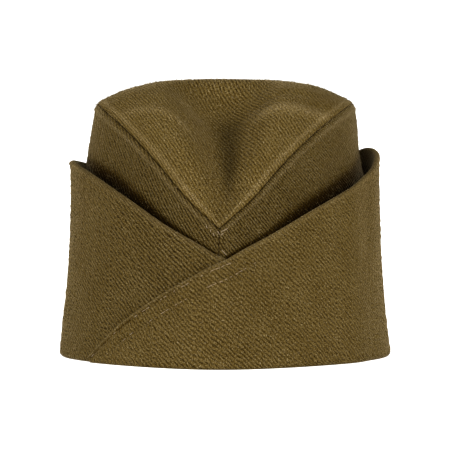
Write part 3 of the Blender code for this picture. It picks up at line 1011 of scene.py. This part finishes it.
def wool(name, angle, pitch, tint, depth):
    """Felted wool twill: diagonal ribs with broken grooves, strands across them, fibres and heather."""
    graph = Graph(name)
    uv = graph.add("ShaderNodeUVMap", {}, uv_map="cloth").outputs[0]
    split = graph.add("ShaderNodeSeparateXYZ", {"Vector": uv}).outputs
    cosine = math.cos(math.radians(angle))
    sine = math.sin(math.radians(angle))
    along = graph.weigh(split[0], cosine, split[1], sine)
    across = graph.weigh(split[1], cosine, split[0], -sine)
    slow = graph.range(graph.noise(uv, *SLOW_NOISE), 0.0, 1.0, -WOBBLE, WOBBLE)
    quick = graph.range(graph.noise(uv, *QUICK_NOISE), 0.0, 1.0, -QUICK_WOBBLE, QUICK_WOBBLE)
    shifted = graph.math("ADD", across, graph.math("ADD", slow, quick))
    phase = graph.math("FRACT", graph.math("DIVIDE", shifted, pitch))
    rib = graph.math("SINE", graph.math("MULTIPLY", phase, math.pi))

    broken = graph.noise(graph.stretch(along, across, BREAK_STRETCH), *BREAK_NOISE)
    lean = graph.weigh(along, STRAND_LEAN[0], across, STRAND_LEAN[1])
    strand = graph.noise(graph.stretch(lean, across, STRAND_STRETCH), *STRAND_NOISE)
    fibre = graph.noise(uv, *FIBRE_NOISE)
    heather = graph.noise(uv, *HEATHER_NOISE)
    patch = graph.noise(uv, *PATCH_NOISE)

    whole = graph.range(broken, *GROOVE_BREAK, LEAST_GROOVE * depth, depth)
    groove = graph.math("MULTIPLY", graph.math("SUBTRACT", 1.0, rib), whole)
    # The panel's tint scales its colours; it is painted light and shade for each panel
    tone = graph.blend(groove, tint_of(RIB_COLOUR, tint), tint_of(GROOVE_COLOUR, tint))
    fleck = graph.math("MULTIPLY", graph.range(fibre, *FLECK_FIBRE), graph.range(heather, *FLECK_HEATHER))
    tone = graph.blend(graph.math("MULTIPLY", fleck, FLECK_SHARE), tone, tint_of(FLECK_COLOUR, tint))
    weight = graph.math("MULTIPLY", graph.range(strand, *STRAND_TONE), graph.range(patch, *PATCH_TONE))
    weight = graph.math("MULTIPLY", weight, graph.range(fibre, *SPECKLE_TONE))
    weight = graph.math("MULTIPLY", weight, graph.range(heather, *HEATHER_TONE))
    # The attribute above 0 blends towards the pale colour, and below 0 darkens the wool: painted shade
    pale_and_painted_shade = graph.add("ShaderNodeAttribute", {}, attribute_name="pale_and_painted_shade").outputs["Fac"]
    tone = graph.blend(pale_and_painted_shade, tone, tint_of(PALE_COLOUR, tint))
    weight = graph.math("MULTIPLY", weight, graph.range(pale_and_painted_shade, -1.0, 0.0, DARKEST_PAINTED_SHADE, 1.0))
    green = graph.math("POWER", weight, GREEN_POWER)
    blue = graph.math("POWER", weight, BLUE_POWER)
    shade = graph.add("ShaderNodeCombineColor", {0: weight, 1: green, 2: blue}).outputs[0]
    tone = graph.blend(1.0, tone, shade, "MULTIPLY")

    fuzz = graph.weigh(strand, STRAND_HEIGHT, fibre, FIBRE_HEIGHT)
    height = graph.math("ADD", graph.math("MULTIPLY", groove, -RIB_HEIGHT), fuzz)
    bump = graph.add("ShaderNodeBump", {"Height": height, "Strength": 1.0, "Distance": 1.0})
    graph.put(graph.shader.inputs["Base Color"], tone)
    graph.put(graph.shader.inputs["Normal"], bump.outputs[0])
    graph.put(graph.shader.inputs["Roughness"], graph.range(fibre, *WOOL_ROUGHNESS))
    graph.shader.inputs["Specular IOR Level"].default_value = WOOL_SPECULAR
    graph.shader.inputs["Sheen Weight"].default_value = SHEEN_WEIGHT
    graph.shader.inputs["Sheen Roughness"].default_value = SHEEN_SPREAD
    graph.shader.inputs["Sheen Tint"].default_value = SHEEN_COLOUR
    return graph.material


def tint_of(colour, tint):
    return (colour[0] * tint, colour[1] * tint, colour[2] * tint, 1.0)


def thread(name, colour):
    """Spun thread, slightly uneven in tone."""
    graph = Graph(name)
    position = graph.add("ShaderNodeTexCoord", {}).outputs["Object"]
    dark, light = (tint_of(colour, tint) for tint in THREAD_TONES)
    tone = graph.blend(graph.noise(position, *THREAD_NOISE), dark, light)
    graph.put(graph.shader.inputs["Base Color"], tone)
    graph.shader.inputs["Roughness"].default_value = THREAD_ROUGHNESS
    graph.shader.inputs["Specular IOR Level"].default_value = THREAD_SPECULAR
    return graph.material


def stage():
    """Wide white floor under a white dome, which only the camera sees."""
    turn = np.linspace(0, 2 * math.pi, STAGE_SIDES, endpoint=False)
    circle = np.stack([np.cos(turn), np.sin(turn), np.zeros_like(turn)], axis=-1) * STAGE_RADIUS
    ground = finished_mesh("floor", circle, [list(range(len(turn)))])
    graph = Graph("floor_white")
    position = graph.add("ShaderNodeTexCoord", {}).outputs["Object"]
    dark, light = (tint_of((1, 1, 1), tint) for tint in FLOOR_TONES)
    tone = graph.blend(graph.noise(position, FLOOR_NOISE), dark, light)
    graph.put(graph.shader.inputs["Base Color"], tone)
    graph.shader.inputs["Roughness"].default_value = 1.0
    graph.shader.inputs["Specular IOR Level"].default_value = 0.0
    graph.shader.inputs["Emission Color"].default_value = (1, 1, 1, 1)
    graph.shader.inputs["Emission Strength"].default_value = TABLE_GLOW
    ground.data.materials.append(graph.material)

    tilt = np.linspace(DOME_LOW, 0.5 * math.pi, DOME_ROWS)[:, None]
    x = np.cos(tilt) * np.cos(turn)
    y = np.cos(tilt) * np.sin(turn)
    points = np.stack([x, y, np.sin(tilt) + 0 * turn], axis=-1) * STAGE_RADIUS
    rows, size = points.shape[:2]
    index = np.arange(rows * size).reshape(rows, size)
    ahead = np.roll(index, -1, axis=1)
    quads = np.stack([index[:-1], index[1:], ahead[1:], ahead[:-1]], axis=-1).reshape(-1, 4)
    dome = finished_mesh("backdrop", points.reshape(-1, 3), quads.tolist())
    graph = Graph("backdrop_white")
    graph.shader.inputs["Base Color"].default_value = (0, 0, 0, 1)
    graph.shader.inputs["Specular IOR Level"].default_value = 0.0
    graph.shader.inputs["Emission Color"].default_value = (1, 1, 1, 1)
    graph.shader.inputs["Emission Strength"].default_value = 1.0
    dome.data.materials.append(graph.material)
    for kind in ("diffuse", "glossy", "transmission", "volume_scatter", "shadow"):
        setattr(dome, "visible_" + kind, False)


def soft_light(name, direction, strength, width):
    lamp = bpy.data.lights.new(name, "SUN")
    lamp.energy = strength
    lamp.angle = math.radians(width)
    piece = bpy.data.objects.new(name, lamp)
    piece.rotation_euler = Vector(direction).to_track_quat("Z", "Y").to_euler()
    bpy.context.scene.collection.objects.link(piece)


def studio():
    world = bpy.data.worlds.new("studio")
    world.use_nodes = True
    world.node_tree.nodes["Background"].inputs["Color"].default_value = (1.0, 1.0, 1.0, 1.0)
    world.node_tree.nodes["Background"].inputs["Strength"].default_value = SKY_STRENGTH
    bpy.context.scene.world = world
    bpy.context.scene.view_settings.view_transform = "Standard"
    bpy.context.scene.view_settings.look = "High Contrast"
    for row in LIGHTS:
        soft_light(*row)


def camera():
    """Camera at the photograph's angle, with the lens that gives its scale."""
    data = bpy.data.cameras.new("camera")
    piece = bpy.data.objects.new("camera", data)
    stand = Vector((CAMERA_DISTANCE * math.sin(CAMERA_AZIMUTH),
                    CENTRE_Y - CAMERA_DISTANCE * math.cos(CAMERA_AZIMUTH), CAMERA_HEIGHT))
    aim = Vector((0.0, CENTRE_Y, CAMERA_AIM_HEIGHT))
    data.sensor_width = SENSOR_MM
    data.lens = (aim - stand).length / METRES_PER_PIXEL * SENSOR_MM / FRAME_PIXELS
    piece.location = stand
    piece.rotation_euler = (aim - stand).to_track_quat("-Z", "Y").to_euler()
    bpy.context.scene.collection.objects.link(piece)
    bpy.context.scene.camera = piece


def place(piece, material, slot, *nodes):
    piece.data.materials.append(material)
    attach(piece, "root")
    if nodes:
        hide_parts(*nodes)


def cap():
    """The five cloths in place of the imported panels, with their hairs, and the stitches."""
    panels = (
        ("crown_left", side_panel("crown_left_cloth", LEFT), "crown_wool", "side_panel_left"),
        ("crown_right", side_panel("crown_right_cloth", RIGHT), "crown_wool", "side_panel_right"),
        ("top", top_panel("top_cloth"), "top_wool", "top_panel"),
        ("curtain_left", flap("curtain_left_cloth", LEFT), "curtain_wool", "curtain_left"),
        ("curtain_right", flap("curtain_right_cloth", RIGHT), "curtain_wool", "curtain_right"),
    )
    hair = thread("wool_hair", HAIR_COLOUR)
    for number, (name, piece, slot, node) in enumerate(panels):
        place(piece, wool("wool_" + name, *WOOLS[name]), slot, node)
        place(hairs(name + "_hairs", piece, HAIR_SEED + number), hair, slot)
    light_thread = thread("thread_light", THREAD_COLOUR)
    place(tip_stitches("tip_stitches"), light_thread, "crown_wool")
    for number, row in enumerate(STITCH_ROWS, 1):
        place(stitch_row("stitch_row_%d" % number, row, STITCH_SEED + number), light_thread, "curtain_wool")


cap()
stage()
studio()
camera()
